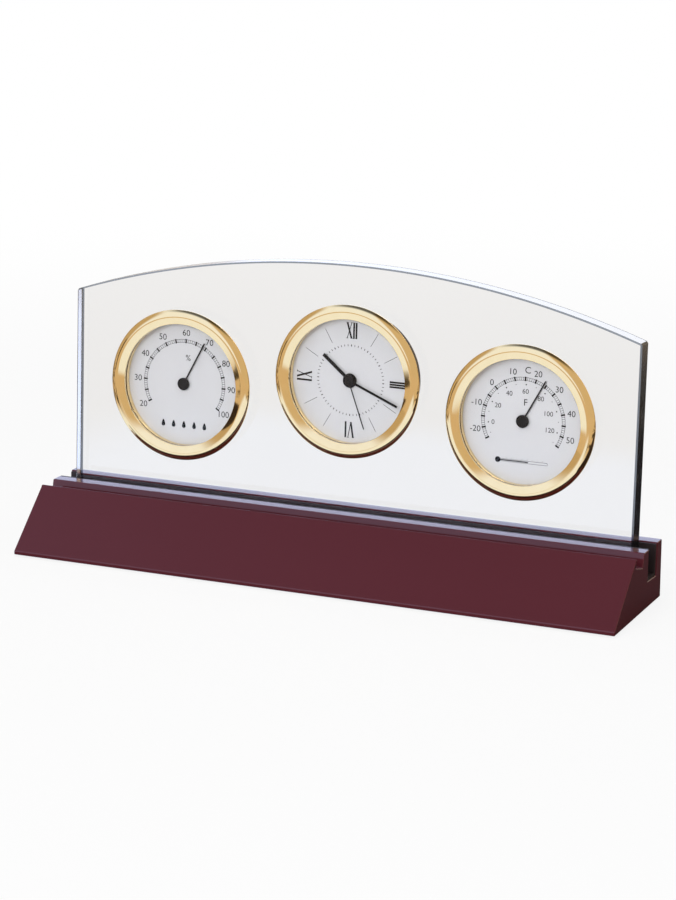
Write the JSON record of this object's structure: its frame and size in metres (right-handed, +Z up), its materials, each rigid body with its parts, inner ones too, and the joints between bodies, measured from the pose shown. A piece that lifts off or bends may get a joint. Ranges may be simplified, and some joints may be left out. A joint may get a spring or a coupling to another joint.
{
  "type": "thermometer hygrometer clock",
  "caption": "Desk weather station: leaning arched glass plate in a wedge-shaped lacquered base, with round clock, hygrometer and thermometer inserts in gold bezels.",
  "frame": {"origin": "middle of the base's foot print, on the table", "axes": "+X to the viewer's right, +Y away from the viewer, +Z up"},
  "size_m": [0.29, 0.0699, 0.1393],
  "materials": {
    "burgundy_lacquer": "high-gloss burgundy lacquer",
    "black_felt": "felt",
    "clear_glass": "clear float glass, ground and polished edges",
    "black_rubber": "matt",
    "gilt_brass": "polished and gilt",
    "crystal": "clear",
    "silver_dial": "silvered, printed in black",
    "black_abs": "moulded, fine grain",
    "movement_plastic": "moulded",
    "screw_steel": "zinc plated",
    "gear_acetal": "moulded",
    "rotor_magnet": "sintered magnet with moulded pinion",
    "black_hands": "black lacquer",
    "core_steel": "stamped",
    "coil_copper": "enamelled wire",
    "board_laminate": "paper laminate",
    "can_nickel": "nickel plated",
    "chip_epoxy": "potting drop",
    "cell_steel": "plated steel",
    "contact_brass": "nickel silver spring",
    "turned_brass": "turned or stamped, plain",
    "coil_strip": "rolled strip"
  },
  "bodies": {
    "stand": {"base_block": "burgundy_lacquer", "base_felt": "black_felt", "glass_panel": "clear_glass", "glass_lining": "black_rubber", "clock_bezel": "gilt_brass", "clock_crystal": "crystal", "clock_dial_ring": "gilt_brass", "clock_dial": "silver_dial", "clock_case": "black_abs", "clock_gasket": "black_rubber", "movement_plate": "movement_plastic", "middle_plate": "movement_plastic", "back_plate": "movement_plastic", "movement_screws": "screw_steel", "stator": "core_steel", "coil_core": "core_steel", "coil_winding": "coil_copper", "circuit_board": "board_laminate", "quartz_can": "can_nickel", "clock_chip": "chip_epoxy", "battery": "cell_steel", "battery_contact_negative": "contact_brass", "battery_contact_positive": "contact_brass", "hygrometer_bezel": "gilt_brass", "hygrometer_crystal": "crystal", "hygrometer_dial_ring": "gilt_brass", "hygrometer_dial": "silver_dial", "hygrometer_case": "black_abs", "hygrometer_gasket": "black_rubber", "hygrometer_bridge": "turned_brass", "hygrometer_screws": "screw_steel", "hygrometer_coil": "coil_strip", "thermometer_bezel": "gilt_brass", "thermometer_crystal": "crystal", "thermometer_dial_ring": "gilt_brass", "thermometer_dial": "silver_dial", "thermometer_case": "black_abs", "thermometer_gasket": "black_rubber", "thermometer_bridge": "turned_brass", "thermometer_screws": "screw_steel", "thermometer_coil": "coil_strip"},
    "seconds_train": {"second_wheel": "gear_acetal", "second_hand": "black_hands"},
    "third_train": {"third_wheel": "gear_acetal"},
    "minutes_train": {"centre_wheel": "gear_acetal", "cannon_pinion": "gear_acetal", "minute_hand": "black_hands"},
    "hours_train": {"hour_wheel": "gear_acetal", "hour_hand": "black_hands"},
    "setting_train": {"minute_wheel": "gear_acetal", "setting_knob": "black_abs"},
    "intermediate_train": {"intermediate_wheel": "gear_acetal"},
    "motor_rotor": {"rotor": "rotor_magnet"},
    "hatch": {"battery_hatch": "black_abs"},
    "hygrometer_needle": {"hygrometer_pointer": "black_hands", "hygrometer_arbor": "turned_brass"},
    "thermometer_needle": {"thermometer_pointer": "black_hands", "thermometer_arbor": "turned_brass"}
  },
  "joints": [
    {"name": "second_turn", "type": "hinge", "parent": "stand", "child": "seconds_train", "pos_m": [0, 0.01904, 0.08645], "axis": [0, 0.9988, -0.0488], "continuous": true},
    {"name": "third_turn", "type": "hinge", "parent": "stand", "child": "third_train", "pos_m": [0.00681, 0.02731, 0.08545], "axis": [0, 0.9988, -0.0488], "continuous": true},
    {"name": "minute_turn", "type": "hinge", "parent": "stand", "child": "minutes_train", "pos_m": [0, 0.01964, 0.08642], "axis": [0, 0.9988, -0.0488], "continuous": true},
    {"name": "hour_turn", "type": "hinge", "parent": "stand", "child": "hours_train", "pos_m": [0, 0.02034, 0.08638], "axis": [0, 0.9988, -0.0488], "continuous": true},
    {"name": "setting_turn", "type": "hinge", "parent": "stand", "child": "setting_train", "pos_m": [-0.00886, 0.0354, 0.08721], "axis": [0, 0.9988, -0.0488], "continuous": true},
    {"name": "intermediate_turn", "type": "hinge", "parent": "stand", "child": "intermediate_train", "pos_m": [0.00239, 0.02801, 0.07942], "axis": [0, 0.9988, -0.0488], "continuous": true},
    {"name": "rotor_turn", "type": "hinge", "parent": "stand", "child": "motor_rotor", "pos_m": [0.00034, 0.02674, 0.07384], "axis": [0, 0.9988, -0.0488], "continuous": true},
    {"name": "battery_hatch_turn", "type": "hinge", "parent": "stand", "child": "hatch", "pos_m": [0.00601, 0.03563, 0.10216], "axis": [0, 0.9988, -0.0488], "range_deg": [0, 60]},
    {"name": "hygrometer_pointer_turn", "type": "hinge", "parent": "stand", "child": "hygrometer_needle", "pos_m": [-0.0829, 0.01986, 0.07649], "axis": [0, 0.9988, -0.0488], "range_deg": [-146.1, 93.9], "stiffness_Nm_per_rad": 0.001, "deforming": ["hygrometer_coil"]},
    {"name": "thermometer_pointer_turn", "type": "hinge", "parent": "stand", "child": "thermometer_needle", "pos_m": [0.0829, 0.01986, 0.07649], "axis": [0, 0.9988, -0.0488], "range_deg": [-147.2, 92.8], "stiffness_Nm_per_rad": 0.001, "deforming": ["thermometer_coil"]}
  ],
  "couplings": [
    {"joint": "third_turn", "follows": "second_turn", "ratio": -0.13333},
    {"joint": "minute_turn", "follows": "second_turn", "ratio": 0.016667},
    {"joint": "hour_turn", "follows": "second_turn", "ratio": 0.0013889},
    {"joint": "setting_turn", "follows": "second_turn", "ratio": -0.0055556},
    {"joint": "intermediate_turn", "follows": "second_turn", "ratio": -6},
    {"joint": "rotor_turn", "follows": "second_turn", "ratio": 30}
  ]
}
